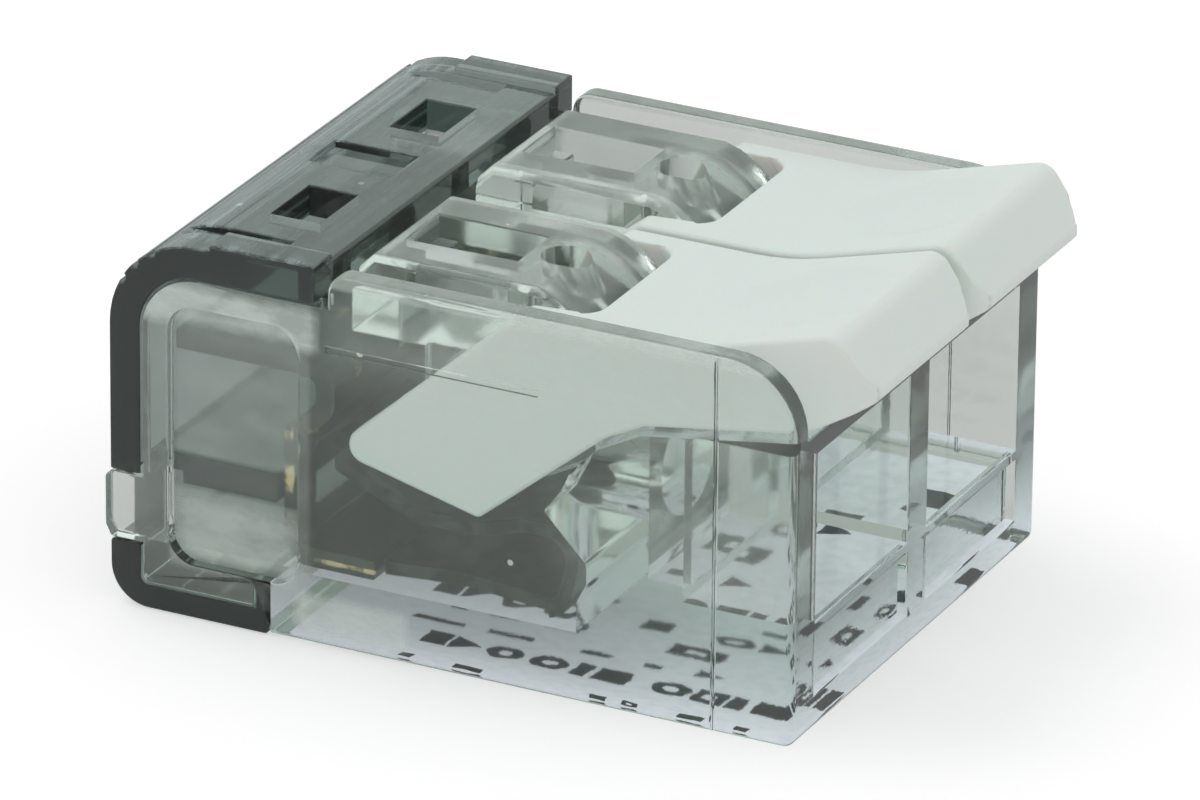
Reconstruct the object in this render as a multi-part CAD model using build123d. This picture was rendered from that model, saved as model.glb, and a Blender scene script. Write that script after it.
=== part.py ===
"""Two-pole lever wire connector, in millimetres, +Z up, +X towards the wire entries.

Seven pieces: a clear housing, a smoke-coloured rear cap, two levers, one bent busbar that both
wires share, and one clamp spring for each wire.  Each lever turns up about a cross axis, and the
cam on its arms pushes the clamp spring down, away from the busbar.

All lengths along X are measured from the back of the rear cap until the pieces are written out.
They are then moved so that the origin lies under the middle of the closed connector.
"""
import os
from math import asin, cos, degrees, radians, sin, tan

from build123d import *

# Whole connector
length = 17.8               # back of the rear cap to the front face
wall_top = 9.45             # height of the housing's side walls and of the cap's top face
pitch = 6.0                 # from one wire to the next
poles = 2
side_wall = 0.65            # thickness of the housing's side walls
floor = 1.6                 # thickness of the floor under the springs
play = 0.1                  # side gap between a moving part and its neighbour
seat = 0.05                 # gap between two fixed parts that fit together
width = poles * pitch + 2 * side_wall
inner_half = width / 2 - side_wall
pole_places = [(index - (poles - 1) / 2) * pitch for index in range(poles)]

# Rear cap
cap_wall = 0.8              # back and top of the cap
cap_reach = 5.4             # how far the top of the cap comes forward
cap_arm = 0.6               # thickness of the arm under the housing
cap_arm_reach = 4.15        # how far that arm comes forward
cap_lip = 1.25              # height of the hooked end of the arm
cap_lip_thick = 0.3
cap_edge_radius = 0.1       # front edge of the cap's top
cap_top_radius = 2.3        # outer radius along the rear top edge
cap_foot_radius = 1.0       # outer radius along the rear bottom edge
shelf_bottom = 3.1          # rib across the inside of the cap
shelf_thick = 0.75
shelf_reach = 4.1
ledge_height = 0.15         # raised strip along each side of the cap's top
ledge_length = 2.75
ledge_width = 0.95
channel_start = 1.3         # narrow channel beside each strip
channel_length = 2.8
channel_width = 0.45
recess_start = 2.1          # wide recess between two wires
recess_length = 2.2
recess_width = 1.4
recess_depth = 0.2
groove_count = 3            # fine grooves along the rounded rear edge
groove_radius = 0.11
groove_step = 14            # degrees between two grooves
slot_start = 2.85           # test slot over each wire
slot_length = 1.3
slot_width = 1.9
latch_bottom = 1.6          # windows in the cap that the housing's latches fill
latch_height = 1.8
latch_width = 1.4
latch_proud = 0.15          # how far a latch stands out behind the cap
latch_lead = 0.3            # slope at a latch's lower edge
inside_bend = 0.2           # inner radius of the cap's lower corner

# Housing
step_gap = 0.3              # gap between the cap's front edge and the raised walls
rim = 0.75                  # frame around the recessed side panel
panel_depth = 0.3
panel_radius = 0.7
corner_radius = 1.8         # front top corner of the side walls
step_line = 7.5             # height of the fine line on the side walls
line_depth = 0.08
line_reach = 2              # how far the line runs past the lever's axis
seam_x = 15.75              # upright mould line on each side wall
seam_depth = 0.05
edge_radius = 0.2           # rounded outer edges of the side walls
block_width = 4.2           # clear tongue between the two arms of a lever
block_thick = 1.9
block_nose_radius = 3.2     # rounded front of the tongue, about the lever's axis
nose_turn = 62              # angle at which that rounding meets the tongue's top, in degrees
block_chamfer = 0.4
block_bevel = 0.15          # bevelled long edges of the tongue
pocket_width = 1.65         # stepped pocket in the top of the tongue
pocket_start = 0.65
pocket_length = 2.9
pocket_step = 0.5
pocket_depth = 1.2
pocket_shelf = 0.6          # depth of the pocket's upper step
pocket_overlap = 0.7        # how far that step ends short of the pocket's front
well_radius = 0.6           # round well in front of the pocket
well_gap = 0.25
web_thick = 0.5             # bearing webs under the tongue
web_radius = 1.6
web_root = 0.9              # depth of a web below the axis, where it meets the front part
web_front_radius = 0.6
port_width = 4.95           # wire entry at the front face
port_bottom = 2.8
port_rise = 0.5             # from the levers' axis up to the top of the wire entry
port_share = 0.55           # share of the front part that the port takes, front to back
head_share = 0.28           # share of the front part that lies behind the lever's lower edge
neck_width = 4.0            # second, smaller step of the wire entry
neck_step = 0.25            # how far it steps in above and below
neck_share = 0.18           # share that the neck takes
throat_radius = 1.3         # round hole that centres the wire
throat_rise = 0.4           # how far the throat lies above the middle of the port
sill_depth = 0.25           # shallow recess in the front face below each entry
sill_low = 0.95
foot_radius = 0.3           # lower front edge
nose_slope = 0.65           # drop of the nose's underside before the springs' loop starts
loop_room = 1.5             # height of the round room for the springs' loop
loop_depth = 0.25           # how deep that room goes into the front part

# Levers
pivot_x = 9.2
axis_drop = 2.95            # from the side walls' top down to the levers' axis
lever_gap = 0.25            # between the two levers
trunnion_radius = 0.9
trunnion_play = 0.05
overhang = 1.6              # how far the lever's tip stands out past the front face
lip_rise = 0.75             # how far the lip stands above the side walls
lip_lean = 1.05             # how far the lip's ridge lies behind its tip
lip_low = 0.95              # from the lever's lower edge up to its tip
ramp_length = 3.9           # the lever's top climbs to the ridge over this length
dish_radius = 7             # thumb dish in the lip
dish_depth = 0.3
tab_drop = 0.3              # how far the tab lies below the side walls
tab_thick = 1.0
cam_share = 0.53            # from the axis down to the cam's flat, as a share of the room below it
cam_angle = 14              # slope of the flat, in degrees
cam_tip_radius = 0.45
lever_top_slope = 42        # slope of the arm's upper rear edge, in degrees
lever_clear = 0.15          # gap between the lever and what lies round it
tip_radius = 0.5
lip_round = 0.3             # radius of the lip's lower front edge
lip_corner = 1.0            # rounded corners of the lip, seen from above
lever_edge = 0.15           # rounded side edges of a lever
fork_radius = 0.6           # rounded inner corners where the arms leave the tab
front_lip = 0.6             # thickness of the lever's front wall, behind the front face
fork_reach = 2.7            # from the axis forward to those corners
arm_top_reach = 1.2         # the arms' upper edge starts to fall this far in front of the axis,
arm_top_drop = 0.6          # and its straight slope starts behind that and this far down
arm_top_run = 0.8
foot_corner = 0.2           # radius of the cam's lower corner
under_rise = 0.55           # from the axis up to the lever's lower edge, just ahead of the arms
under_climb = 0.65          # how much higher that edge lies at the front face
under_radius = 1.5          # inner corner between the cam and that edge
front_radius = 0.5          # outer corners of the lever's lower edge and of the side walls' step
nose_high = -18             # the front part's nose lies between these two angles, in degrees,
nose_low = -45              # on the circle that the arms' lower corner swings through
hollow_reach = 2.85         # from the axis forward to the front wall of the springs' hollow

# Busbar
bus_thick = 0.5
bus_width = 11.3
bus_back = 1.3              # rear end of the upper flange
bus_rise = 0.15             # from the levers' axis up to the middle of the upper flange
bus_web_gap = 4.8           # from the middle of the upright forward to the levers' axis
bus_step = 1.15             # from the middle of the upright to the contact step's front face
contact_high_share = 0.826  # bends of the contact step, from the floor up, as shares of the room
contact_low_share = 0.673
foot_length = 2.2           # from the middle of the upright to the lower flange's front end
window_width = 3.6
window_low_share = 0.163    # lower and upper edge of a window, as shares of the same room
window_high_share = 0.571
bend = 0.2                  # inner radius of the bends

# Clamp springs
spring_thick = 0.35
ear_width = 5.45            # spring where the lever's arms press
tongue_width = 3.6          # spring where it holds the wire
tongue_start = 3.6          # the tongue's tip is narrower from this far behind the axis
spring_split = 2.5          # height between the upper and the lower leg
tail_width = 4.6            # spring on the floor
loop_radius = 0.7
loop_lean = 0.45            # how far the loop's foot lies behind its front
leg_bend = 1.0              # radius of the gentle bends in both legs
tail_arch = 0.15            # rise of the lower leg's middle
crown = 0.25                # rise of the upper leg at the loop, and its gap to the busbar

# Worked out from the sizes above
cap_top = wall_top
pivot_z = wall_top - axis_drop
room = pivot_z - floor      # height below the levers' axis
cam_height = cam_share * room
bus_top = pivot_z + bus_rise
contact_high = floor + contact_high_share * room
contact_low = floor + contact_low_share * room
window_bottom = floor + window_low_share * room
window_top = floor + window_high_share * room
axis = Vector(pivot_x, pivot_z)
lever_half = (pitch - lever_gap) / 2
arm_inner = block_width / 2 + play
tab_top = wall_top - tab_drop
tab_under = tab_top - tab_thick
swing = cam_height + lever_clear + seat
front_part = length - pivot_x - hollow_reach
under_start = pivot_x + hollow_reach + head_share * front_part
port_back = length - port_share * front_part
neck_back = port_back - neck_share * front_part
block_start = cap_reach + step_gap
port_top = pivot_z + port_rise
port_middle = (port_bottom + port_top) / 2
neck_height = port_top - port_bottom - 2 * neck_step
bus_bottom = floor + bus_thick / 2
bus_web_x = pivot_x - bus_web_gap
bus_drop_x = bus_web_x + bus_step
bus_foot = bus_web_x + foot_length


def rounded_edges(points, closed):
    """Straight runs through points (x, z, radius), with a tangent arc where there is a radius."""
    count = len(points)
    stops = []
    for index, (x, z, radius) in enumerate(points):
        here = Vector(x, z)
        if not radius:
            stops.append((here, None, here))
            continue
        before = (Vector(*points[index - 1][:2]) - here).normalized()
        after = (Vector(*points[(index + 1) % count][:2]) - here).normalized()
        half = radians(before.get_angle(after)) / 2
        middle_line = (before + after).normalized()
        reach = radius / tan(half)
        centre = here + middle_line * (radius / sin(half))
        stops.append((here + before * reach, centre - middle_line * radius, here + after * reach))
    edges = []
    for index, (start, middle, end) in enumerate(stops):
        if middle is not None:
            edges.append(ThreePointArc(start, middle, end))
        if closed or index < count - 1:
            following = stops[(index + 1) % count][0]
            edges.append(Line(end, following))
    return edges


def side_face(points):
    """Closed outline seen from the side."""
    return make_face(rounded_edges(points, True))


def across(face, y_from, y_to):
    """A side outline made solid between two places across the connector."""
    return extrude(Plane.XZ.offset(-y_to) * face, amount=y_to - y_from)


def across_middle(face, middle, wide):
    return across(face, middle - wide / 2, middle + wide / 2)


def block(x_from, x_to, middle, wide, z_from, z_to):
    """A plain box between two places along X and Z, centred across Y."""
    size = (x_to - x_from, wide, z_to - z_from)
    return Pos((x_from + x_to) / 2, middle, (z_from + z_to) / 2) * Box(*size)


def strip(points):
    """Side view of a bent metal strip that follows the points with its middle."""
    return Wire(rounded_edges(points, False))


def bent_sheet(points, thick):
    return trace(strip(points), line_width=thick)


def lever_under(x):
    """Height of the lever's lower edge, in front of its arms."""
    share = (x - under_start) / (length - under_start)
    return pivot_z + under_rise + share * under_climb


# Rear cap

def cap_section():
    inner_top = cap_top_radius - cap_wall
    return side_face([
        (0, 0, cap_foot_radius),
        (0, cap_top, cap_top_radius),
        (cap_reach, cap_top, cap_edge_radius),
        (cap_reach, cap_top - cap_wall, 0),
        (cap_wall, cap_top - cap_wall, inner_top),
        (cap_wall, cap_arm, inside_bend),
        (cap_arm_reach - cap_lip_thick, cap_arm, 0),
        (cap_arm_reach - cap_lip_thick, cap_lip, 0),
        (cap_arm_reach, cap_lip, 0),
        (cap_arm_reach, 0, 0),
    ])


def cap_shelf():
    wide = 2 * (inner_half - play)
    return block(cap_wall / 2, shelf_reach, 0, wide, shelf_bottom, shelf_bottom + shelf_thick)


def cap_ledges():
    """Raised strip along each side, up to the front edge."""
    ledges = Part()
    for place in (-(width - ledge_width) / 2, (width - ledge_width) / 2):
        ledges += block(cap_reach - ledge_length, cap_reach, place, ledge_width,
                        cap_top - seat, cap_top + ledge_height)
    return ledges


def cap_recesses():
    """Shallow recesses in the top: a channel beside each strip, and one between two wires."""
    low = cap_top - recess_depth
    over = cap_top + ledge_height
    recesses = Part()
    for side in (-1, 1):
        place = side * (width / 2 - ledge_width - channel_width / 2 - seat)
        recesses += block(channel_start, channel_start + channel_length, place, channel_width,
                          low, over)
    for before, after in zip(pole_places, pole_places[1:]):
        recesses += block(recess_start, recess_start + recess_length, (before + after) / 2, recess_width,
                          low, over)
    return recesses


def cap_cuts():
    cuts = cap_recesses()
    for place in pole_places:
        cuts += block(slot_start, slot_start + slot_length, place, slot_width,
                      cap_top - 2 * cap_wall, cap_top + ledge_height)
    centre = Vector(cap_top_radius, cap_top - cap_top_radius)
    first = 90 + 45 - groove_step * (groove_count - 1) / 2
    for index in range(groove_count):
        angle = radians(first + index * groove_step)
        at = centre + Vector(cos(angle), sin(angle)) * cap_top_radius
        groove = Plane.XZ * Pos(at.X, at.Y) * Circle(groove_radius)
        cuts += extrude(groove, amount=width / 2, both=True)
    for side in (-1, 1):
        place = side * (width - latch_width) / 2
        cuts += block(-cap_wall, 2 * cap_wall, place, latch_width, latch_bottom, latch_bottom + latch_height)
    return cuts


def make_rear_cap():
    cap = across_middle(cap_section(), 0, width)
    return cap + cap_shelf() + cap_ledges() - cap_cuts()


# Housing

def wall_outline():
    """Side view of the housing: low behind, inside the cap, and raised in front of it."""
    back = cap_wall + seat
    low_top = cap_top - cap_wall - seat
    inner_top = cap_top_radius - cap_wall
    arm_end = cap_arm_reach + seat
    lip_back = cap_arm_reach - cap_lip_thick - seat
    return side_face([
        (back, cap_arm + seat, edge_radius),
        (back, low_top, inner_top),
        (block_start, low_top, 0),
        (block_start, wall_top, front_radius),
        (length, wall_top, corner_radius),
        (length, 0, foot_radius),
        (arm_end, 0, 0),
        (arm_end, cap_lip + seat, 0),
        (lip_back, cap_lip + seat, 0),
        (lip_back, cap_arm + seat, 0),
    ])


def panel_recess():
    back = cap_wall + rim
    front = block_start - rim
    low = cap_arm + rim
    high = cap_top - cap_wall - rim
    corners = [(back, low, panel_radius), (back, high, panel_radius),
               (front, high, panel_radius), (front, low, panel_radius)]
    return side_face(corners)


def make_side_wall(side):
    outer = side * width / 2
    wall = across_middle(wall_outline(), side * (width - side_wall) / 2, side_wall)
    face = wall.faces().sort_by(Axis.Y)[-1 if side > 0 else 0]
    raised = face.edges().filter_by(lambda edge: edge.center().X > block_start)
    wall = fillet(raised.filter_by(lambda edge: edge.center().Z > floor), edge_radius)
    recess = across_middle(panel_recess(), outer, 2 * panel_depth)
    line = block(block_start, pivot_x + line_reach, outer, 2 * line_depth,
                 step_line, step_line + 2 * line_depth)
    seam = block(seam_x - seam_depth, seam_x + seam_depth, outer, 2 * seam_depth, 0, wall_top)
    return wall - recess - line - seam


def make_latch(side):
    """Wedge on the rear end of a side wall that snaps into the cap's window."""
    low = latch_bottom + seat
    high = latch_bottom + latch_height - seat
    outline = side_face([
        (cap_wall + seat, low, 0),
        (0, low, 0),
        (-latch_proud, low + latch_lead, 0),
        (-latch_proud, high - latch_proud, 0),
        (0, high, 0),
        (cap_wall + seat, high, 0),
    ])
    return across_middle(outline, side * (width - side_wall) / 2, side_wall)


def on_circle(radius, angle):
    """A point on a circle about the lever's axis, seen from the side, at an angle in degrees."""
    turn = radians(angle)
    return axis + Vector(cos(turn), sin(turn)) * radius


def core_outline():
    """Floor and solid front part: the springs' hollow lies behind it, the levers above it."""
    back = cap_wall + seat
    arm_end = cap_arm_reach + seat
    lip_back = arm_end - cap_lip_thick - 2 * seat
    arm_top = cap_arm + seat
    hollow_front = pivot_x + hollow_reach
    high_nose = on_circle(swing, nose_high)
    low_nose = on_circle(swing, nose_low)
    loop_top = low_nose.Y - nose_slope
    edges = rounded_edges([
        (low_nose.X, low_nose.Y, 0),
        (hollow_front - loop_depth, loop_top, 0),
        (hollow_front + loop_depth, loop_top - 2 * loop_depth, loop_depth),
        (hollow_front + loop_depth, loop_top - loop_room + 2 * loop_depth, loop_depth),
        (hollow_front, loop_top - loop_room, 0),
        (hollow_front, floor, 0),
        (back, floor, 0),
        (back, arm_top, 0),
        (lip_back, arm_top, 0),
        (lip_back, cap_lip + seat, 0),
        (arm_end, cap_lip + seat, 0),
        (arm_end, 0, 0),
        (length, 0, foot_radius),
        (length, lever_under(length) - lever_clear, 0),
        (under_start, lever_under(under_start) - lever_clear, 0),
        (high_nose.X + swing / 4, high_nose.Y + swing / 4, 0),
        (high_nose.X, high_nose.Y, 0),
    ], False)
    edges.append(ThreePointArc(high_nose, on_circle(swing, (nose_high + nose_low) / 2), low_nose))
    return make_face(edges)


def tongue_outline():
    """Side view of the clear tongue over one wire, with its rounded front and its root."""
    root_top = tab_under - 3 * lever_clear
    low_turn = degrees(asin((root_top - pivot_z) / block_nose_radius))
    high, middle, low = [on_circle(block_nose_radius, turn)
                         for turn in (nose_turn, (nose_turn + low_turn) / 2, low_turn)]
    root_front = port_back
    root_back = pivot_x + hollow_reach
    under = wall_top - block_thick
    points = [
        low,
        Vector(root_front, root_top),
        Vector(root_front, port_middle),
        Vector(root_back, port_middle),
        Vector(root_back - block_chamfer, under),
        Vector(block_start, under),
        Vector(block_start, wall_top - block_chamfer),
        Vector(block_start + block_chamfer, wall_top),
        Vector(high.X - block_chamfer, wall_top),
        high,
    ]
    edges = [Line(start, end) for start, end in zip(points, points[1:])]
    edges.append(ThreePointArc(high, middle, low))
    return make_face(edges)


def web_outline():
    """Side view of a bearing web, which hangs from the tongue and holds the lever's axis."""
    web_top = wall_top - block_thick + web_thick / 2
    return side_face([
        (pivot_x - web_radius, web_top, 0),
        (pivot_x - web_radius, pivot_z - web_radius, web_radius - play),
        (pivot_x + web_radius, pivot_z - web_radius, web_front_radius),
        (pivot_x + hollow_reach, pivot_z - web_root, 0),
        (pivot_x + hollow_reach, web_top, 0),
    ])


def tongue_cuts(middle):
    """Stepped pocket and round well in the top of the tongue, and the lever's two bearings."""
    back = block_start + pocket_start
    deep = wall_top - pocket_depth
    front = back + pocket_length
    over = wall_top + block_chamfer
    cuts = block(back + pocket_step, front, middle, pocket_width, deep, over)
    cuts += block(back, front - pocket_overlap, middle, pocket_width, wall_top - pocket_shelf, over)
    well_x = front + well_gap + well_radius
    cuts += Pos(well_x, middle, wall_top) * Cylinder(well_radius, 2 * pocket_depth)
    bearing = Plane.XZ * Pos(pivot_x, pivot_z) * Circle(trunnion_radius + trunnion_play)
    return cuts + Pos(0, middle, 0) * extrude(bearing, amount=block_width / 2 + play / 2, both=True)


def make_tongue(middle):
    tongue = across_middle(tongue_outline(), middle, block_width)
    sides = tongue.edges().filter_by(lambda edge: abs(edge.center().Y - middle) > block_width / 2 - seat)
    upper = sides.filter_by(lambda edge: edge.center().Z > wall_top - block_thick / 2)
    tongue = chamfer(upper, block_bevel)
    for side in (-1, 1):
        place = middle + side * (block_width - web_thick) / 2
        tongue += across_middle(web_outline(), place, web_thick)
    return tongue - tongue_cuts(middle)


def entry_cuts(middle):
    """Wire entry: a wide port, a smaller neck and a round throat, one behind the other."""
    neck_low = port_middle - neck_height / 2
    past_front = length + overhang
    cuts = block(port_back, past_front, middle, port_width, port_bottom, port_top)
    cuts += block(neck_back, port_back + play, middle, neck_width, neck_low, neck_low + neck_height)
    throat = Plane.YZ * Pos(middle, port_middle + throat_rise) * Circle(throat_radius)
    behind = pivot_x
    cuts += Pos(behind, 0, 0) * extrude(throat, amount=neck_back + play - behind)
    cuts += block(length - sill_depth, past_front, middle, port_width, sill_low, port_bottom - foot_radius)
    return cuts


def make_housing():
    housing = across_middle(core_outline(), 0, 2 * inner_half + side_wall)
    for middle in pole_places:
        housing += make_tongue(middle)
    for middle in pole_places:
        housing -= entry_cuts(middle)
    for side in (-1, 1):
        housing += make_side_wall(side) + make_latch(side)
    return housing


# Levers

def lever_outline():
    """Side view of a lever, closed: the cam behind and below the axis, the grip in front."""
    slope = tan(radians(cam_angle))
    rise = tan(radians(lever_top_slope))
    foot = axis + Vector(foot_corner, -cam_height - seat)
    tip = length + overhang
    top_back = Vector(pivot_x + arm_top_run, wall_top - arm_top_drop)
    ridge = Vector(tip - lip_lean, wall_top + lip_rise)
    apex_x = (foot.Y - top_back.Y + rise * top_back.X + slope * foot.X) / (rise + slope)
    apex = Vector(apex_x, foot.Y + slope * (foot.X - apex_x))
    return side_face([
        (foot.X, foot.Y, foot_corner),
        (pivot_x + block_nose_radius + lever_gap, pivot_z + seat, under_radius),
        (under_start, lever_under(under_start), 0),
        (length, lever_under(length), front_radius),
        (tip, lever_under(length) + lip_low, lip_round),
        (ridge.X, ridge.Y, tip_radius),
        (ridge.X - ramp_length, tab_top, dish_radius),
        (pivot_x + arm_top_reach, tab_top, lip_round),
        (top_back.X, top_back.Y, 0),
        (apex.X, apex.Y, cam_tip_radius),
    ])


def lever_hollow():
    """Side view of the space under the tab: clear of the tongue's rounded front."""
    reach = block_nose_radius + lever_clear
    front = length - front_lip
    hollow = Pos(pivot_x, pivot_z) * Circle(reach)
    hollow += side_face([
        (pivot_x, 0, 0),
        (pivot_x, tab_under, 0),
        (front, tab_under, web_front_radius),
        (front, 0, 0),
    ])
    return hollow


def lever_fork(middle):
    """Space between the arms, open at the top, with rounded front corners seen from above."""
    long = fork_reach + pivot_x
    fork = Rectangle(long, 2 * arm_inner)
    fork = fillet(fork.vertices().group_by(Axis.X)[-1], fork_radius)
    return Pos(long / 2, middle, 0) * extrude(fork, amount=wall_top + 2 * lip_rise)


def thumb_dish(middle):
    """Ball that hollows the ramp behind the lip's ridge."""
    ridge = Vector(length + overhang - lip_lean, wall_top + lip_rise)
    foot = Vector(ridge.X - ramp_length, tab_top)
    along = (ridge - foot).normalized()
    centre = (ridge + foot) / 2 + Vector(-along.Y, along.X) * (dish_radius - dish_depth)
    return Pos(centre.X, middle, centre.Y) * Sphere(dish_radius)


def lever_plan(middle):
    """The lever's outline from above, with rounded corners on the lip."""
    back = cap_reach
    long = length + overhang - back
    plan = Rectangle(long, 2 * lever_half)
    plan = fillet(plan.vertices().group_by(Axis.X)[-1], lip_corner)
    return Pos(back + long / 2, middle, 0) * extrude(plan, amount=wall_top + 2 * lip_rise)


def make_lever(middle):
    lever = across_middle(lever_outline(), middle, 2 * lever_half)
    sides = lever.edges().filter_by(lambda edge: abs(edge.center().Y - middle) > lever_half - seat)
    lever = fillet(sides.filter_by(lambda edge: edge.center().X > under_start), lever_edge)
    lever -= across_middle(lever_hollow(), middle, 2 * arm_inner)
    lever -= lever_fork(middle)
    lever -= thumb_dish(middle)
    lever &= lever_plan(middle)
    trunnion = Pos(pivot_x, pivot_z) * Circle(trunnion_radius)
    trunnion_long = web_thick + play
    for side in (-1, 1):
        place = middle + side * (arm_inner - trunnion_long / 2 + seat)
        lever += across_middle(trunnion, place, trunnion_long)
    return lever


# Metal parts

def make_busbar():
    """One bent strip for all wires, with a window for each wire in its upright."""
    path = [
        (bus_back, bus_top, 0),
        (bus_drop_x - bus_thick / 2, bus_top, bend + bus_thick / 2),
        (bus_drop_x - bus_thick / 2, contact_high, bend + bus_thick / 2),
        (bus_web_x, contact_low, bend + bus_thick / 2),
        (bus_web_x, bus_bottom, bend + bus_thick / 2),
        (bus_foot, bus_bottom, 0),
    ]
    busbar = across_middle(bent_sheet(path, bus_thick), 0, bus_width)
    for middle in pole_places:
        busbar -= block(bus_web_x - bus_thick, bus_web_x + bus_thick, middle, window_width,
                        window_bottom, window_top)
    return busbar


def spring_path():
    on_floor = floor + spring_thick / 2 + seat
    cam_low = pivot_z - cam_height - spring_thick / 2 - play
    loop_x = pivot_x + hollow_reach - play
    loop_foot = loop_x - loop_lean - loop_radius
    tail_x = bus_foot + play
    return [
        (tail_x, on_floor, 0),
        ((tail_x + loop_foot) / 2, on_floor + tail_arch, leg_bend),
        (loop_foot, on_floor, leg_bend),
        (loop_x - loop_lean, on_floor, loop_radius - tail_arch),
        (loop_x, cam_low + crown, loop_radius),
        (loop_x - 2 * loop_radius, cam_low + crown, leg_bend),
        (pivot_x + play, cam_low - play, 2 * leg_bend),
        (pivot_x - 1.5 * leg_bend, cam_low - play, 2 * leg_bend),
        (bus_web_x + bus_thick + crown, contact_low - crown, 0),
    ]


def make_spring(middle):
    """One bent strip: its tail lies on the floor, its ears under the arms, its tongue at the wire."""
    spring = across_middle(bent_sheet(spring_path(), spring_thick), middle, ear_width)
    for side in (-1, 1):
        tongue_side = (ear_width - tongue_width) / 2
        place = middle + side * (ear_width - tongue_side) / 2
        spring -= block(bus_web_x, pivot_x - tongue_start, place, tongue_side, spring_split, wall_top)
        tail_side = (ear_width - tail_width) / 2
        place = middle + side * (ear_width - tail_side) / 2
        spring -= block(bus_web_x, pivot_x + 2 * leg_bend, place, tail_side, 0, spring_split)
    return spring


def pieces():
    yield "housing", make_housing()
    yield "rear_cap", make_rear_cap()
    yield "busbar", make_busbar()
    for number, middle in enumerate(pole_places, start=1):
        yield f"lever_{number}", make_lever(middle)
        yield f"clamp_spring_{number}", make_spring(middle)


os.makedirs("parts", exist_ok=True)
made = dict(pieces())
extents = [shape.bounding_box() for shape in made.values()]
x_middle = (min(box.min.X for box in extents) + max(box.max.X for box in extents)) / 2
print("middle of the closed connector, from the back of the cap:", round(x_middle, 4))
for name, shape in made.items():
    export_step(Pos(-x_middle, 0, 0) * shape, f"parts/{name}.step")
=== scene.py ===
# %% [markdown]
# # A clear lever connector for two wires
#
# The real object is about the size of a thumbnail: a clear box with a smoke-coloured cap behind,
# two white levers on top, and bright metal inside that shows through the walls. The solid pieces
# come ready made. This file dresses them: it sets the camera and the light, and gives each piece
# a finish built from shader nodes, so that nothing depends on picture files.

# %% Load the solid pieces
from math import cos, radians, sin

import bmesh
import bpy
from mathutils import Matrix, Vector
from mathutils.noise import noise_vector


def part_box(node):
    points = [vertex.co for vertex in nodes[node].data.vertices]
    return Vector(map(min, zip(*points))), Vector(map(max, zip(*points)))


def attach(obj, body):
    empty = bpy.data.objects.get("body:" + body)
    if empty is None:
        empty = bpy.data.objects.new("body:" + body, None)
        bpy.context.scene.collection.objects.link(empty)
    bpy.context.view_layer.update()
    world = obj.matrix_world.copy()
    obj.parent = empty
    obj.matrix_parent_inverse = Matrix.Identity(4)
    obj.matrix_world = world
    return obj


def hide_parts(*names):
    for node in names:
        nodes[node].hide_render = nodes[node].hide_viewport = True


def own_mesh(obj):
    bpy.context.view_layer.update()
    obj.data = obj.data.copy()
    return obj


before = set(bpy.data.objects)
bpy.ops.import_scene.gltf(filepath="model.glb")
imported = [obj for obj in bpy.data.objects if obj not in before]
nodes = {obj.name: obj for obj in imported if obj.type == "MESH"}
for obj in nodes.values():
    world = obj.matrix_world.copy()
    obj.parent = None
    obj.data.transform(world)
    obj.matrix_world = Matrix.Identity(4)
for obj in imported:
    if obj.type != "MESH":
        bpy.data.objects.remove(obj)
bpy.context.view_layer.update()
MM = 0.001
print("pieces:", sorted(nodes))

# %% [markdown]
# ## Where things are
#
# Every place below is worked out from the boxes of the solid pieces, so that a finish or a mark
# stays on its piece when the piece changes. The housing reaches from behind the cap to the front
# face, the cap's arm ends the rear part of the underside, and the levers give the two wires.

# %% Places taken from the pieces
housing_low, housing_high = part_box("housing")
cap_low, cap_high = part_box("rear_cap")
wire_places = [sum(corner.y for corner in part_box(f"lever_{number}")) / 2 for number in (1, 2)]
front = housing_high.x
side = housing_high.y
print("front face at", round(front / MM, 2), "mm, side at", round(side / MM, 2), "mm")

# %% [markdown]
# ## Camera
#
# The photograph was taken from far away with a long lens, from in front of the near corner and a
# little above. A long lens keeps parallel edges nearly parallel. The camera aims along one line
# from its azimuth and elevation, and is then moved a little in its own plane, which frames the
# object as the photograph does without shifting the lens.

# %% Camera
AZIMUTH = radians(26.373)
ELEVATION = radians(23.777)
ROLL = radians(0.59)
DISTANCE = 275.95 * MM
LENS = 351.6
PAN_RIGHT = 0.537 * MM
PAN_UP = -0.313 * MM


def place_camera():
    target = Vector((front - 8.9 * MM, 0, housing_high.z / 2))
    back = Vector((sin(AZIMUTH) * cos(ELEVATION), -cos(AZIMUTH) * cos(ELEVATION), sin(ELEVATION)))
    right = Vector((cos(AZIMUTH), sin(AZIMUTH), 0))
    up = back.cross(right)
    right, up = (right * cos(ROLL) + up * sin(ROLL), up * cos(ROLL) - right * sin(ROLL))
    camera = bpy.data.objects.new("camera", bpy.data.cameras.new("camera"))
    bpy.context.scene.collection.objects.link(camera)
    turn = Matrix((right, up, back)).transposed()
    place = target + back * DISTANCE + right * PAN_RIGHT + up * PAN_UP
    camera.matrix_world = Matrix.Translation(place) @ turn.to_4x4()
    camera.data.lens = LENS
    camera.data.sensor_width = 36
    camera.data.clip_start = 1 * MM
    bpy.context.scene.camera = camera
    return camera


camera = place_camera()
bpy.context.scene.view_settings.view_transform = "Standard"
print("camera at", [round(value, 4) for value in camera.location])

# %% [markdown]
# ## Node helpers
#
# A material is a small graph of nodes. These helpers add a node, set its inputs by name and link
# them, so that each finish below reads as a short recipe.


# %% Helpers for nodes
def add_node(tree, kind, inputs=None, **settings):
    node = tree.nodes.new(kind)
    for name, value in settings.items():
        setattr(node, name, value)
    for name, value in (inputs or {}).items():
        if isinstance(value, bpy.types.NodeSocket):
            tree.links.new(value, node.inputs[name])
        else:
            node.inputs[name].default_value = value
    return node


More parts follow.
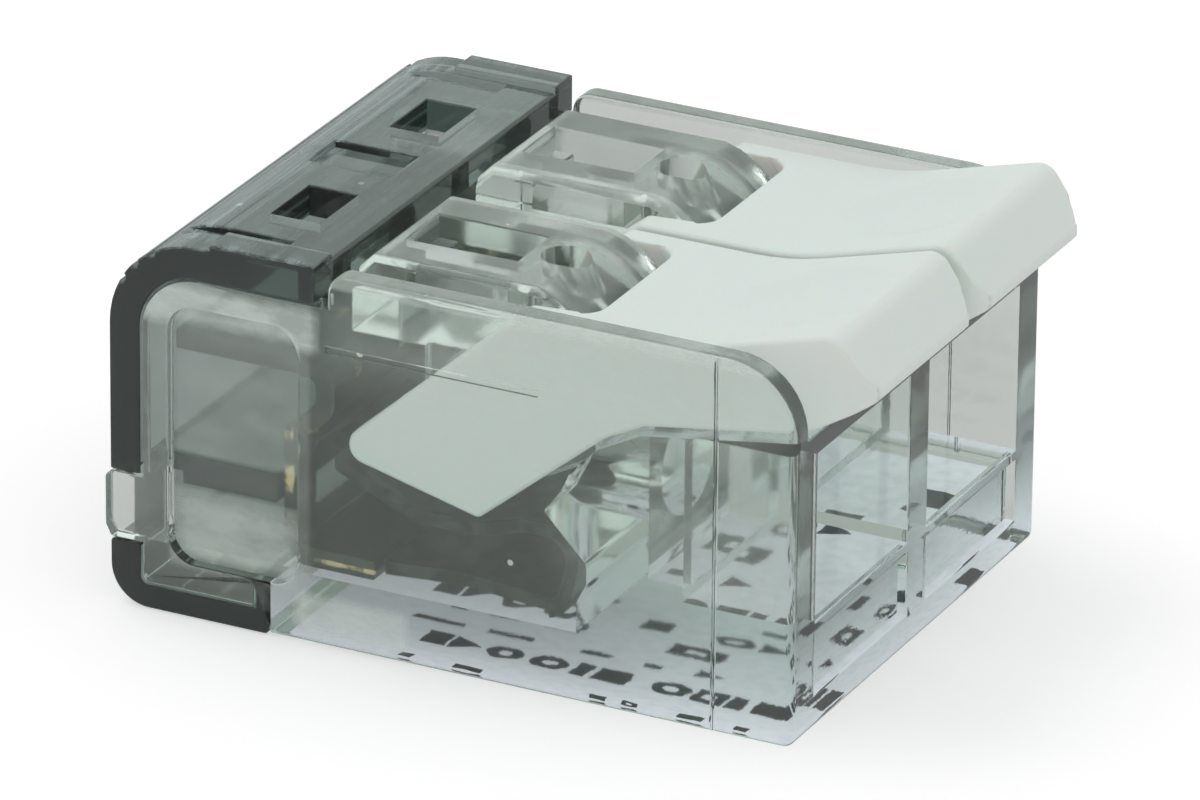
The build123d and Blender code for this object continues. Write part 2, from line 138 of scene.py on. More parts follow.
def new_material(name):
    material = bpy.data.materials.new(name)
    material.use_nodes = True
    material.node_tree.nodes.clear()
    return material


def new_group(name, inputs, outputs):
    """A node group with float inputs and the outputs given as (name, socket kind)."""
    tree = bpy.data.node_groups.new(name, "ShaderNodeTree")
    for label, default in inputs:
        socket = tree.interface.new_socket(name=label, in_out="INPUT", socket_type="NodeSocketFloat")
        socket.default_value = default
    for label, kind in outputs:
        tree.interface.new_socket(name=label, in_out="OUTPUT", socket_type=kind)
    return tree, tree.nodes.new("NodeGroupInput"), tree.nodes.new("NodeGroupOutput")


def finish_material(material, surface, volume=None):
    output = material.node_tree.nodes.new("ShaderNodeOutputMaterial")
    material.node_tree.links.new(surface, output.inputs["Surface"])
    if volume:
        material.node_tree.links.new(volume, output.inputs["Volume"])
    return material


print("node helpers ready")

# %% [markdown]
# ## Moulded surface
#
# Moulded plastic is never optically flat. It has a slow waviness that bends what is seen through
# it, and a fine grain from the steel of the mould. Both are bumps here, made from noise in the
# object's own coordinates, with heights far below what could be modelled.


# %% Group: moulded surface
def make_moulded_surface():
    tree, given, result = new_group(
        "moulded surface",
        [("Wave Size", 400.0), ("Grain Size", 9000.0), ("Grain Share", 0.15)],
        [("Height", "NodeSocketFloat"), ("Mask", "NodeSocketFloat")])
    place = add_node(tree, "ShaderNodeTexCoord")
    wave = add_node(tree, "ShaderNodeTexNoise", {"Vector": place.outputs["Object"],
                                                 "Scale": given.outputs["Wave Size"], "Detail": 1.5})
    grain = add_node(tree, "ShaderNodeTexNoise", {"Vector": place.outputs["Object"],
                                                  "Scale": given.outputs["Grain Size"], "Detail": 3.0})
    fine = add_node(tree, "ShaderNodeMath", {0: grain.outputs["Fac"], 1: given.outputs["Grain Share"]},
                    operation="MULTIPLY")
    both = add_node(tree, "ShaderNodeMath", {0: wave.outputs["Fac"], 1: fine.outputs[0]}, operation="ADD")
    tree.links.new(both.outputs[0], result.inputs["Height"])
    tree.links.new(wave.outputs["Fac"], result.inputs["Mask"])
    return tree


moulded_surface = make_moulded_surface()
print("group:", moulded_surface.name)


# %% [markdown]
# ## Masks by place
#
# Some finishes change from place to place: the sunk panel of a side wall is matt, and the foot of
# the busbar carries painted glints. A mask by place gives 1 inside a box and 0 outside, with a soft
# border. Its sizes are in millimetres, and its Y values are distances from the middle, so both sides match.


# %% Group: box mask
def make_box_mask():
    names = ["X Low", "X High", "Y Low", "Y High", "Z Low", "Z High"]
    tree, given, result = new_group("box mask", [(name, 0.0) for name in names] + [("Soft", 0.2)],
                                    [("Mask", "NodeSocketFloat")])
    place = add_node(tree, "ShaderNodeTexCoord")
    in_mm = add_node(tree, "ShaderNodeVectorMath", {0: place.outputs["Object"], 1: (1000, 1000, 1000)},
                     operation="MULTIPLY")
    axes = add_node(tree, "ShaderNodeSeparateXYZ", {0: in_mm.outputs[0]})
    from_middle = add_node(tree, "ShaderNodeMath", {0: axes.outputs["Y"]}, operation="ABSOLUTE")
    values = {"X": axes.outputs["X"], "Y": from_middle.outputs[0], "Z": axes.outputs["Z"]}
    soft = given.outputs["Soft"]
    inside = None
    for axis, value in values.items():
        for edge, first, second in (("Low", value, given.outputs[f"{axis} Low"]),
                                    ("High", given.outputs[f"{axis} High"], value)):
            gap = add_node(tree, "ShaderNodeMath", {0: first, 1: second}, operation="SUBTRACT")
            share = add_node(tree, "ShaderNodeMath", {0: gap.outputs[0], 1: soft}, operation="DIVIDE",
                             use_clamp=True)
            if inside is None:
                inside = share.outputs[0]
            else:
                both = add_node(tree, "ShaderNodeMath", {0: inside, 1: share.outputs[0]},
                                operation="MULTIPLY")
                inside = both.outputs[0]
    tree.links.new(inside, result.inputs["Mask"])
    return tree


box_mask = make_box_mask()
print("group:", box_mask.name)


# %% Helper: put a group into a material
def use_group(tree, group, **values):
    node = tree.nodes.new("ShaderNodeGroup")
    node.node_tree = group
    for name, value in values.items():
        node.inputs[name.replace("_", " ")].default_value = value
    return node


# %% [markdown]
# ## Clear plastic
#
# The housing is clear polycarbonate with a faint grey-green cast, and the cap is the same plastic
# with a smoke dye. Both take away light by depth: a thin wall stays clear and a thick block turns
# grey, so the colour is an absorption inside the solid and hardly any colour on its surface.


# %% Finish: clear plastic
def make_clear_plastic(name, colour, inside, dye, density, haze, roughness, wave, bump,
                       matt_places=(), wavy_place=None):
    """Plastic that light passes through. Each matt place is (box in millimetres, added roughness)."""
    material = new_material(name)
    tree = material.node_tree
    surface = use_group(tree, moulded_surface, Wave_Size=wave)
    relief = surface.outputs["Height"]
    if wavy_place:
        wavy = use_group(tree, box_mask, **wavy_place)
        times = add_node(tree, "ShaderNodeMapRange", {"Value": wavy.outputs["Mask"], "To Min": 1.0,
                                                      "To Max": 4.0})
        higher = add_node(tree, "ShaderNodeMath", {0: relief, 1: times.outputs["Result"]},
                          operation="MULTIPLY")
        relief = higher.outputs[0]
    height = add_node(tree, "ShaderNodeBump", {"Height": relief,
                                               "Strength": bump, "Distance": 0.00002})
    uneven = add_node(tree, "ShaderNodeMapRange", {
        "Value": surface.outputs["Mask"], "From Min": 0.3, "From Max": 0.7,
        "To Min": 0.7 * roughness, "To Max": 1.3 * roughness})
    rough = uneven.outputs["Result"]
    for box, added in matt_places:
        matt = use_group(tree, box_mask, **box)
        more = add_node(tree, "ShaderNodeMath", {0: matt.outputs["Mask"], 1: added, 2: rough},
                        operation="MULTIPLY_ADD")
        rough = more.outputs[0]
    shader = add_node(tree, "ShaderNodeBsdfPrincipled", {
        "Base Color": colour, "Roughness": rough, "IOR": 1.5, "Specular Tint": (0.86, 1.0, 0.93, 1),
        "Transmission Weight": 1 - haze, "Normal": height.outputs["Normal"]})
    depth = add_node(tree, "ShaderNodeVolumeAbsorption", {"Color": dye, "Density": density})
    path = tree.nodes.new("ShaderNodeLightPath")
    soft = add_node(tree, "ShaderNodeMath", {0: path.outputs["Is Shadow Ray"],
                                             1: path.outputs["Is Diffuse Ray"]}, operation="MAXIMUM")
    straight = add_node(tree, "ShaderNodeBsdfTransparent", {"Color": inside})
    both = add_node(tree, "ShaderNodeMixShader", {0: soft.outputs[0], 1: shader.outputs["BSDF"],
                                                  2: straight.outputs["BSDF"]})
    return finish_material(material, both.outputs[0], depth.outputs["Volume"])


back = cap_low.x / MM
outer_side = side / MM
outer_faces = {"X_Low": -20, "X_High": 20, "Y_Low": outer_side - 0.4, "Y_High": outer_side + 0.5,
               "Z_Low": -1, "Z_High": 20, "Soft": 0.1}
front_block = {"X_Low": back + 9.5, "X_High": back + 19.5, "Y_Low": 0, "Y_High": 7, "Z_Low": -0.5,
               "Z_High": 2.2, "Soft": 0.6}
tongues = {"X_Low": back + 5.6, "X_High": back + 12.5, "Y_Low": 0.8, "Y_High": 5.2, "Z_Low": 8.75,
           "Z_High": 9.8, "Soft": 0.2}
sunk_panel = {"X_Low": back + 1.5, "X_High": back + 5.0, "Y_Low": outer_side - 0.5,
              "Y_High": outer_side + 0.5, "Z_Low": 1.3, "Z_High": 8.0, "Soft": 0.15}
clear_plastic = make_clear_plastic("clear_plastic", (0.965, 0.985, 0.97, 1), (0.99, 1, 0.995, 1),
                                   (0.31, 0.49, 0.37, 1), 78, 0.028, 0.05, 350, 0.25,
                                   [(outer_faces, 0.05), (sunk_panel, 0.05), (tongues, 0.15)],
                                   front_block)
smoke_plastic = make_clear_plastic("smoke_plastic", (0.84, 0.90, 0.88, 1), (0.84, 0.90, 0.88, 1),
                                   (0.08, 0.18, 0.15, 1), 1100, 0.045, 0.05, 350, 0.4)
print("finishes:", clear_plastic.name, smoke_plastic.name)


# %% Finish: lever plastic
def make_lever_plastic():
    material = new_material("lever_plastic")
    tree = material.node_tree
    surface = use_group(tree, moulded_surface, Wave_Size=250)
    height = add_node(tree, "ShaderNodeBump", {"Height": surface.outputs["Height"],
                                               "Strength": 0.15, "Distance": 0.00002})
    shader = add_node(tree, "ShaderNodeBsdfPrincipled", {
        "Base Color": (0.79, 0.865, 0.83, 1), "Roughness": 0.42, "IOR": 1.5,
        "Subsurface Weight": 0.3, "Subsurface Scale": 0.0012,
        "Normal": height.outputs["Normal"]})
    return finish_material(material, shader.outputs["BSDF"])


lever_plastic = make_lever_plastic()


# %% [markdown]
# ## Metals
#
# The busbar is copper with a thin coat of tin. Where it was sheared and bent the coat is thin, and
# the copper shows through as gold; the gold patches are also painted glints, and the dark,
# mirror-like grey is a painted dark reflection where plain tin would look pale. The springs are
# dark spring steel, painted nearly black, which also paints in the shade of the cavity round them.
# Both colours are a mix of a dark and a bright tone, in patches of noise, and the busbar's mix is
# richer in gold at its foot, its upright and its contact: painted glints there.


# %% Finish: metals
def make_metal(name, dark, bright, threshold, roughness, glint_places=()):
    material = new_material(name)
    tree = material.node_tree
    surface = use_group(tree, moulded_surface, Wave_Size=900)
    height = add_node(tree, "ShaderNodeBump", {"Height": surface.outputs["Height"],
                                               "Strength": 0.5, "Distance": 0.00003})
    patches = use_group(tree, moulded_surface, Wave_Size=1400, Grain_Share=0.3)
    amount = patches.outputs["Height"]
    # Each glint place adds gold there: painted glints.
    for box, added in glint_places:
        glint_spot = use_group(tree, box_mask, **box)
        more = add_node(tree, "ShaderNodeMath", {0: glint_spot.outputs["Mask"], 1: added, 2: amount},
                        operation="MULTIPLY_ADD")
        amount = more.outputs[0]
    share = add_node(tree, "ShaderNodeMapRange", {"Value": amount, "From Min": threshold,
                                                  "From Max": threshold + 0.12})
    colour = add_node(tree, "ShaderNodeMix", {"Factor": share.outputs["Result"]}, data_type="RGBA")
    colour.inputs[6].default_value = dark
    colour.inputs[7].default_value = bright
    shader = add_node(tree, "ShaderNodeBsdfPrincipled", {
        "Base Color": colour.outputs[2], "Metallic": 1.0, "Roughness": roughness,
        "Normal": height.outputs["Normal"]})
    return finish_material(material, shader.outputs["BSDF"])


# The foot, the upright and the contact get extra gold: painted glints.
foot = {"X_Low": back + 5.0, "X_High": back + 7.0, "Y_Low": 5.5, "Y_High": 7, "Z_Low": 1.72, "Z_High": 1.9,
        "Soft": 0.04}
upright = {"X_Low": back + 4.1, "X_High": back + 4.45, "Y_Low": 5.0, "Y_High": 7, "Z_Low": 2.2,
           "Z_High": 5.2, "Soft": 0.05}
contact = {"X_Low": back + 5.6, "X_High": back + 6.3, "Y_Low": 3, "Y_High": 7, "Z_Low": 2.2, "Z_High": 2.9,
           "Soft": 0.1}
# The busbar's dark grey is a painted dark reflection where plain tin would look pale.
tinned_copper = make_metal("tinned_copper", (0.07, 0.085, 0.062, 1), (0.80, 0.70, 0.36, 1), 0.80, 0.20,
                           [(foot, 0.36), (upright, 0.20), (contact, 0.25)])
# The spring steel is nearly black: steel is darker than tin, and the rest is painted shade of the cavity the
# springs sit in.
spring_steel = make_metal("spring_steel", (0.018, 0.026, 0.019, 1), (0.06, 0.075, 0.062, 1), 0.60, 0.34)
print("finishes:", tinned_copper.name, spring_steel.name)


# %% Helper: an object from mesh code
def piece_from(builder, name, material):
    mesh = bpy.data.meshes.new(name)
    builder.to_mesh(mesh)
    builder.free()
    piece = bpy.data.objects.new(name, mesh)
    bpy.context.scene.collection.objects.link(piece)
    mesh.materials.append(material)
    return piece


# %% Helper: rounded copies of the solids
def is_sharp(edge, width):
    """Whether an edge sticks out, and both of its faces are deep enough to be rounded over."""
    if not (edge.is_manifold and edge.is_convex and edge.calc_face_angle() > radians(35)):
        return False
    middle = (edge.verts[0].co + edge.verts[1].co) / 2 / MM
    if middle.z > 9.0 and back + 9.2 < middle.x < back + 11.6 and 1.5 < abs(middle.y) < 4.5:
        return False  # the rims of the two wells stay crisp
    start, along = edge.verts[0].co, (edge.verts[1].co - edge.verts[0].co).normalized()
    for face in edge.link_faces:
        depth = max((vert.co - start).cross(along).length for vert in face.verts)
        if depth < 2.2 * width * MM:
            return False
    return True


def round_edges(builder, edges, width, steps):
    bmesh.ops.bevel(builder, geom=edges, offset=width * MM, offset_type="OFFSET", segments=steps,
                    profile=0.5, affect="EDGES", clamp_overlap=False, loop_slide=True)
    return len(edges)


def shade_by_area(mesh, limit=radians(50)):
    """Soft shading in which the large flat faces stay flat and the narrow ones between them turn."""
    around = [[] for vert in mesh.vertices]
    for face in mesh.polygons:
        face.use_smooth = True
        for index in face.vertices:
            around[index].append(face)
    directions = []
    for face in mesh.polygons:
        for index in face.vertices:
            total = Vector()
            for other in around[index]:
                if face.normal.dot(other.normal) > cos(limit):
                    total += other.normal * other.area
            directions.append(total.normalized())
    mesh.normals_split_custom_set(directions)


def soften(name, body, material, width):
    """A copy of a solid piece with its outer edges rounded off, which stands for that piece.

    It is 0.003 mm smaller all round, so two pieces that touch never share a face.
    """
    builder = bmesh.new()
    builder.from_mesh(nodes[name].data)
    bmesh.ops.remove_doubles(builder, verts=builder.verts, dist=0.0005 * MM)
    bmesh.ops.dissolve_limit(builder, angle_limit=radians(1), verts=builder.verts, edges=builder.edges)
    sharp = [edge for edge in builder.edges if is_sharp(edge, width)]
    count = round_edges(builder, sharp, width, 2)
    builder.normal_update()
    for vert in builder.verts:
        vert.co -= vert.normal * 0.003 * MM
    piece = piece_from(builder, f"{name}_rounded", material)
    shade_by_area(piece.data)
    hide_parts(name)
    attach(piece, body)
    print(piece.name, "edges rounded:", count, "faces:", len(piece.data.polygons))
    return piece


housing_rounded = soften("housing", "connector", clear_plastic, 0.06)
cap_rounded = soften("rear_cap", "connector", smoke_plastic, 0.05)


# %% [markdown]
# ## Haze and painted sheen on the sides
#
# The steel that moulds the outer side walls is not polished everywhere, so the frame round the
# sunk panel is milky and streaked, and dust sits on it. The same film also carries painted light:
# pale film on the rim of the sunk panel, the tops of the walls and the tongues is a painted
# highlight of their rounded edges, and pale film lifts the upper wall, the bottom of the panel,
# the front block and the low strip as painted light. The plastic's own light must stay even over
# the whole piece, so the haze is a film of its own: a copy of the outer faces, a few thousandths of
# a millimetre in front of them, see-through except where its masks say so.


# %% Films of haze with painted sheen, and of painted reflections
def make_film_material(name, colour, places, stretch, low, high):
    """A pale film in the given places, each (box in millimetres, share), run through by long streaks:
    haze with painted sheen on the sides, painted reflections on the cap.
    """
    material = new_material(name)
    tree = material.node_tree
    place = add_node(tree, "ShaderNodeTexCoord")
    along = add_node(tree, "ShaderNodeMapping", {"Vector": place.outputs["Object"], "Scale": stretch})
    cloud = add_node(tree, "ShaderNodeTexNoise", {"Vector": along.outputs["Vector"], "Scale": 1.0,
                                                  "Detail": 4.0, "Roughness": 0.6})
    uneven = add_node(tree, "ShaderNodeMapRange", {"Value": cloud.outputs["Fac"], "From Min": 0.38,
                                                   "From Max": 0.62, "To Min": low, "To Max": high})
    amount = None
    for box, share in places:
        spot = use_group(tree, box_mask, **box)
        more = add_node(tree, "ShaderNodeMath", {0: spot.outputs["Mask"], 1: share,
                                                 2: amount or 0.02}, operation="MULTIPLY_ADD")
        amount = more.outputs[0]
    haze = add_node(tree, "ShaderNodeMath", {0: amount, 1: uneven.outputs["Result"]},
                    operation="MULTIPLY", use_clamp=True)
    grains = add_node(tree, "ShaderNodeTexVoronoi", {"Vector": place.outputs["Object"], "Scale": 520.0})
    dust = add_node(tree, "ShaderNodeMath", {0: grains.outputs["Distance"], 1: 0.045},
                    operation="LESS_THAN")
    both = add_node(tree, "ShaderNodeMath", {0: dust.outputs[0], 1: 0.6, 2: haze.outputs[0]},
                    operation="MULTIPLY_ADD", use_clamp=True)
    shader = add_node(tree, "ShaderNodeBsdfPrincipled", {
        "Base Color": colour, "Roughness": 0.6, "Alpha": both.outputs[0]})
    return finish_material(material, shader.outputs["BSDF"])


def side_place(x_low, x_high, z_low, z_high, soft=0.2):
    return {"X_Low": back + x_low, "X_High": back + x_high, "Y_Low": 6.0, "Y_High": 8.0,
            "Z_Low": z_low, "Z_High": z_high, "Soft": soft}


# Pale bluish bands on the cap's rear-top rounding, top and near upper side: painted reflections of the edges
# inside the cap.
cap_reflection_places = [
    ({"X_Low": back - 1, "X_High": back + 2.6, "Y_Low": 0, "Y_High": 6.4, "Z_Low": 6.5, "Z_High": 10,
      "Soft": 0.4}, 0.42),
    ({"X_Low": back + 2.6, "X_High": back + 5.6, "Y_Low": 0, "Y_High": 7, "Z_Low": 9, "Z_High": 10,
      "Soft": 0.4}, 0.06),
    ({"X_Low": back - 1, "X_High": back + 5.6, "Y_Low": 6.2, "Y_High": 7, "Z_Low": 7.6, "Z_High": 10,
      "Soft": 0.3}, 0.22),
]
tongue_rims = {"X_Low": back + 5.5, "X_High": back + 12.5, "Y_Low": 0.8, "Y_High": 1.35, "Z_Low": 8.9,
               "Z_High": 9.8, "Soft": 0.12}
# Pale film here is partly haze and partly painted light: the rim top, the wall top, the tongues and their rims
# carry painted highlights, and the panel bottom, the upper wall, the front block and the low strip are lifted by
# painted light.
haze_and_sheen_places = [
    (side_place(-0.3, 5.4, 0.5, 8.8), 0.14),
    (side_place(0.3, 5.6, 7.3, 8.6, 0.3), 0.46),
    (side_place(1.5, 5.0, 1.2, 7.7, 0.15), 0.06),
    (side_place(1.5, 4.9, 3.15, 4.15, 0.1), -0.2),
    (side_place(1.5, 5.0, 1.2, 3.1, 0.4), 0.24),
    (side_place(5.0, 18.0, 6.4, 9.4, 1.4), 0.36),
    (side_place(5.3, 18.0, 9.1, 9.9, 0.1), 0.30),
    (side_place(11.2, 18.5, 2.4, 6.4, 1.4), 0.26),
    (side_place(4.8, 8.0, 0.2, 1.4, 0.3), 0.45),
    (tongues, 0.12),
    (tongue_rims, 0.25),
]


def covered_by_haze_and_sheen(normal, centre):
    """Whether a face belongs to the outer side walls, or to the upper side of walls and tongues."""
    if abs(normal.y) > 0.4 and abs(centre.y) > 0.95 * side / MM:
        return True
    return normal.z > 0.1 and centre.z > 7.4 and centre.x > back + 5.5


def is_under_cap_reflections(normal, centre):
    """Whether a face belongs to the outer skin of the cap."""
    return normal.z > 0.25 and centre.z > 7.5


def make_film(name, source, material, is_covered, gap):
    builder = bmesh.new()
    builder.from_mesh(source.data)
    for vert in builder.verts:
        vert.co += vert.normal * gap * MM
    rest = [face for face in builder.faces if not is_covered(face.normal, face.calc_center_median() / MM)]
    bmesh.ops.delete(builder, geom=rest, context="FACES")
    piece = piece_from(builder, name, material)
    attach(piece, "connector")
    print(piece.name, "faces:", len(piece.data.polygons))
    return piece


side_haze_and_sheen = make_film("side_haze_and_sheen", housing_rounded,
                      make_film_material("side_haze_and_sheen", (0.83, 0.92, 0.86, 1), haze_and_sheen_places,
                                         (700, 700, 1500), 0.8, 1.15), covered_by_haze_and_sheen, 0.004)
# The cap's film paints reflections onto its outer skin.
cap_painted_reflections = make_film("cap_painted_reflections", cap_rounded,
                        make_film_material("cap_painted_reflections", (0.52, 0.62, 0.62, 1), cap_reflection_places,
                                           (5200, 90, 5200), 0.0, 1.4), is_under_cap_reflections, 0.004)


# %% [markdown]
# ## Levers, springs and busbar
#
# These are rounded in the same way, the levers most. An opening lever presses its spring down with
# its cam; here each spring is only rounded and given a mesh of its own, and it does not flatten.


# %% Rounded levers, springs and busbar
soften("busbar", "connector", tinned_copper, 0.04)
for number in (1, 2):
    soften(f"lever_{number}", f"lever_{number}", lever_plastic, 0.10)
    spring = soften(f"clamp_spring_{number}", "connector", spring_steel, 0.03)
    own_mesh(spring)


# %% [markdown]
# ## Print on the underside
#
# The underside of the housing is printed: a pale lilac field with dark marks, which show through
# the clear floor, bent by its faces. The print lies in optical contact with the plastic, so it is
# made of very thin plates just inside the floor's lower face. The marks are plain bars, frames,
# rings and a wedge, in rows. Each plate is a flat outline given a thickness in mesh code.


# %% Helpers for the print
def add_plate(builder, outline, low, high, hole=None):
    """A flat outline made solid between two heights; an equal number of points may ring a hole."""
    def ring(points, height):
        return [builder.verts.new((x * MM, y * MM, height * MM)) for x, y in points]

    outer_low, outer_high = ring(outline, low), ring(outline, high)
    count = len(outline)
    if not hole:
        builder.faces.new(outer_high)
        builder.faces.new(list(reversed(outer_low)))
    else:
        inner_low, inner_high = ring(hole, low), ring(hole, high)
    for index in range(count):
        after = (index + 1) % count
        builder.faces.new((outer_low[index], outer_low[after], outer_high[after], outer_high[index]))
        if hole:
            builder.faces.new((inner_low[after], inner_low[index], inner_high[index], inner_high[after]))
            builder.faces.new((outer_high[index], outer_high[after], inner_high[after], inner_high[index]))
            builder.faces.new((outer_low[after], outer_low[index], inner_low[index], inner_low[after]))


def rectangle(x, y, wide, high):
    return [(x - wide / 2, y - high / 2), (x + wide / 2, y - high / 2),
            (x + wide / 2, y + high / 2), (x - wide / 2, y + high / 2)]


def oval(x, y, wide, high, count=24):
    return [(x + wide / 2 * cos(radians(360 * step / count)), y + high / 2 * sin(radians(360 * step / count)))
            for step in range(count)]


# %% Ink
def make_ink(name, colour, worn, roughness, glow):
    material = new_material(name)
    tree = material.node_tree
    patches = use_group(tree, moulded_surface, Wave_Size=2500, Grain_Share=0.4)
    mix = add_node(tree, "ShaderNodeMapRange", {"Value": patches.outputs["Height"], "From Min": 0.55,
                                                "From Max": 0.95})
    tone = add_node(tree, "ShaderNodeMix", {"Factor": mix.outputs["Result"]}, data_type="RGBA")
    tone.inputs[6].default_value = colour
    tone.inputs[7].default_value = worn
    shader = add_node(tree, "ShaderNodeBsdfPrincipled", {
        "Base Color": tone.outputs[2], "Roughness": roughness,
        "Emission Color": colour, "Emission Strength": glow})
    return finish_material(material, shader.outputs["BSDF"])


# The pale ink glows at strength 0.38: painted light, standing in for light from below that shines through the thin
# ink.
pale_ink = make_ink("pale_ink", (0.79, 0.80, 0.88, 1), (0.62, 0.66, 0.72, 1), 0.6, 0.38)
dark_ink = make_ink("dark_ink", (0.002, 0.002, 0.003, 1), (0.03, 0.03, 0.04, 1), 0.6, 0.0)


# %% Print: the field and its marks
def make_print_field():
    builder = bmesh.new()
    long = front / MM - back - 5.0
    middle = back + 4.6 + long / 2
    add_plate(builder, rectangle(middle, 0, long, 2 * outer_side - 0.9), 0.02, 0.03)
    return piece_from(builder, "print_field", pale_ink)


def make_print_marks():
    """Rows of marks, each row given as (kind, distance from the cap's back, width) along one line."""
    rows = [
        (-3.85, 1.1, [("bar", 7.8, 0.6), ("wedge", 8.6, 0.8), ("ring", 9.6, 0.95), ("ring", 10.75, 1.0),
                      ("bar", 11.6, 0.4), ("bar", 12.4, 0.85), ("ring", 13.9, 1.0), ("frame", 14.9, 0.8),
                      ("bar", 15.6, 0.4), ("bar", 16.5, 0.9)]),
        (-5.85, 0.35, [("bar", 7.6, 0.35), ("bar", 9.2, 0.7), ("bar", 12.6, 0.4), ("frame", 13.4, 0.4),
                       ("bar", 15.0, 0.6), ("bar", 16.3, 0.35)]),
        (-2.3, 0.3, [("bar", 7.4, 1.3), ("bar", 9.3, 1.2), ("bar", 11.5, 0.8), ("bar", 13.0, 0.4)]),
        (-0.5, 0.9, [("bar", 7.5, 0.5), ("frame", 8.7, 0.8), ("bar", 10.2, 0.9), ("frame", 13.6, 1.4)]),
        (1.2, 0.8, [("wedge", 8.0, 0.8), ("ring", 9.6, 0.8), ("bar", 12.1, 0.7), ("ring", 14.1, 1.1),
                    ("wedge", 15.2, 0.8)]),
        (2.5, 0.3, [("bar", 8.2, 1.4), ("bar", 10.3, 0.8), ("bar", 14.9, 0.9)]),
        (3.9, 0.9, [("ring", 8.1, 0.8), ("bar", 9.2, 0.35), ("bar", 16.5, 1.2)]),
        (5.6, 0.4, [("bar", 8.6, 0.9), ("bar", 10.6, 0.4)]),
        (-2.05, 0.6, [("wedge", 14.4, 0.7)]),
    ]
    builder = bmesh.new()
    low, high = 0.012, 0.04
    for y, tall, marks in rows:
        for kind, start, wide in marks:
            x = back + start
            if kind == "bar":
                add_plate(builder, rectangle(x, y, wide, tall), low, high)
            elif kind == "wedge":
                add_plate(builder, [(x - wide / 2, y - tall / 2), (x + wide / 2, y), (x - wide / 2, y + tall / 2)],
                          low, high)
            elif kind == "frame":
                add_plate(builder, rectangle(x, y, wide, tall), low, high,
                          rectangle(x, y, 0.4 * wide, 0.4 * tall))
            else:
                add_plate(builder, oval(x, y, wide, tall), low, high, oval(x, y, 0.45 * wide, 0.45 * tall))
    bmesh.ops.subdivide_edges(builder, edges=[edge for edge in builder.edges if edge.calc_length() > 0.3 * MM],
                              cuts=3)
    for vert in builder.verts:
        push = Vector(noise_vector(vert.co / MM * 2.3)) * 0.09 * MM
        vert.co += Vector((push.x, push.y, 0))
    return piece_from(builder, "print_marks", dark_ink)


for piece in (make_print_field(), make_print_marks()):
    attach(piece, "connector")
    print(piece.name, "faces:", len(piece.data.polygons))

# %% [markdown]
# ## Floor, backdrop and light
#
# The photograph has a plain white ground. The floor is a pale diffuse sheet, so it takes the
# object's soft shadow, and only the rays that the camera, the gloss and the clear plastic send
# out see it as white. The light itself is a plain white sky and a soft panel overhead, which puts
# pale lines on the rounded edges. Gloss sees the near side of the room darker than the far side,
# as in a studio with a white sweep behind the object: that gives clear plastic its contrast.


# %% Floor and light
def seen_directly(tree):
    """1 for camera, glossy and transmission rays, 0 for the rays that light the object."""
    path = tree.nodes.new("ShaderNodeLightPath")
    mirrored = add_node(tree, "ShaderNodeMath", {0: path.outputs["Is Camera Ray"],
                                                 1: path.outputs["Is Glossy Ray"]}, operation="MAXIMUM")
    seen = add_node(tree, "ShaderNodeMath", {0: mirrored.outputs[0],
                                             1: path.outputs["Is Transmission Ray"]}, operation="MAXIMUM")
    return seen.outputs[0]


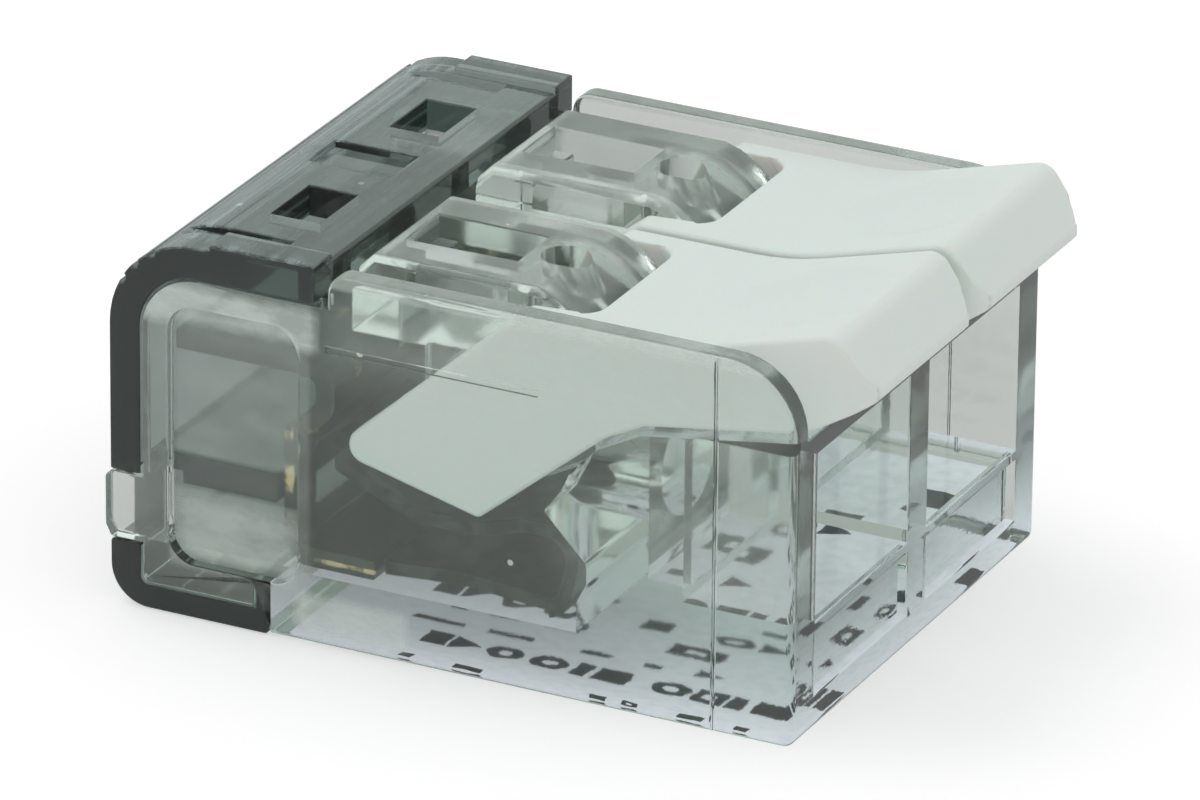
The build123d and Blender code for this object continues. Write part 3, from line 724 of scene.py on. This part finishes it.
def make_floor():
    mesh = bpy.data.meshes.new("floor")
    reach = 0.6
    low = -0.03 * MM
    corners = [(-reach, -reach, low), (reach, -reach, low), (reach, reach, low), (-reach, reach, low)]
    mesh.from_pydata(corners, [], [(0, 1, 2, 3)])
    floor = bpy.data.objects.new("floor", mesh)
    bpy.context.scene.collection.objects.link(floor)
    material = new_material("floor")
    tree = material.node_tree
    pale = add_node(tree, "ShaderNodeBsdfDiffuse", {"Color": (0.86, 0.86, 0.86, 1)})
    white = add_node(tree, "ShaderNodeEmission", {"Color": (1, 1, 1, 1), "Strength": 0.36})
    dark = add_node(tree, "ShaderNodeEmission", {"Color": (0, 0, 0, 1), "Strength": 0.0})
    glow = add_node(tree, "ShaderNodeMixShader", {0: seen_directly(tree), 1: dark.outputs[0],
                                                  2: white.outputs[0]})
    both = add_node(tree, "ShaderNodeAddShader", {0: pale.outputs[0], 1: glow.outputs[0]})
    # Gloss rays see the floor 40 % darker: a painted darker reflection of the floor.
    path = tree.nodes.new("ShaderNodeLightPath")
    share = add_node(tree, "ShaderNodeMath", {0: path.outputs["Is Glossy Ray"], 1: 0.4},
                     operation="MULTIPLY")
    shown = add_node(tree, "ShaderNodeMixShader", {0: share.outputs[0], 1: both.outputs[0],
                                                   2: dark.outputs[0]})
    floor.data.materials.append(finish_material(material, shown.outputs[0]))
    return floor


def make_world():
    world = bpy.data.worlds.new("studio")
    bpy.context.scene.world = world
    world.use_nodes = True
    tree = world.node_tree
    tree.nodes.clear()
    light = add_node(tree, "ShaderNodeBackground", {"Color": (1, 1, 1, 1), "Strength": 0.7})
    white = add_node(tree, "ShaderNodeBackground", {"Color": (1, 1, 1, 1), "Strength": 1.0})
    mix = add_node(tree, "ShaderNodeMixShader", {0: seen_directly(tree), 1: light.outputs[0],
                                                 2: white.outputs[0]})
    place = add_node(tree, "ShaderNodeTexCoord")
    axes = add_node(tree, "ShaderNodeSeparateXYZ", {0: place.outputs["Generated"]})
    room = add_node(tree, "ShaderNodeMapRange", {"Value": axes.outputs["Y"], "From Min": -0.7,
                                                 "From Max": 0.1, "To Min": 0.5, "To Max": 1.0})
    studio = add_node(tree, "ShaderNodeBackground", {"Color": (0.93, 1, 0.965, 1),
                                                     "Strength": room.outputs["Result"]})
    path = tree.nodes.new("ShaderNodeLightPath")
    shown = add_node(tree, "ShaderNodeMixShader", {0: path.outputs["Is Glossy Ray"], 1: mix.outputs[0],
                                                   2: studio.outputs[0]})
    output = tree.nodes.new("ShaderNodeOutputWorld")
    tree.links.new(shown.outputs[0], output.inputs["Surface"])
    return world


def make_softbox(name, aim, distance, size, power):
    """A square panel of light that looks at the object from the direction given by aim."""
    lamp = bpy.data.objects.new(name, bpy.data.lights.new(name, "AREA"))
    bpy.context.scene.collection.objects.link(lamp)
    lamp.data.size = size
    lamp.data.energy = power
    direction = Vector(aim).normalized()
    lamp.location = direction * distance
    lamp.rotation_euler = direction.to_track_quat("Z", "Y").to_euler()
    return lamp


floor = make_floor()
world = make_world()
overhead = make_softbox("overhead_panel", (-0.40, -0.05, 0.92), 0.30, 0.14, 0.12)
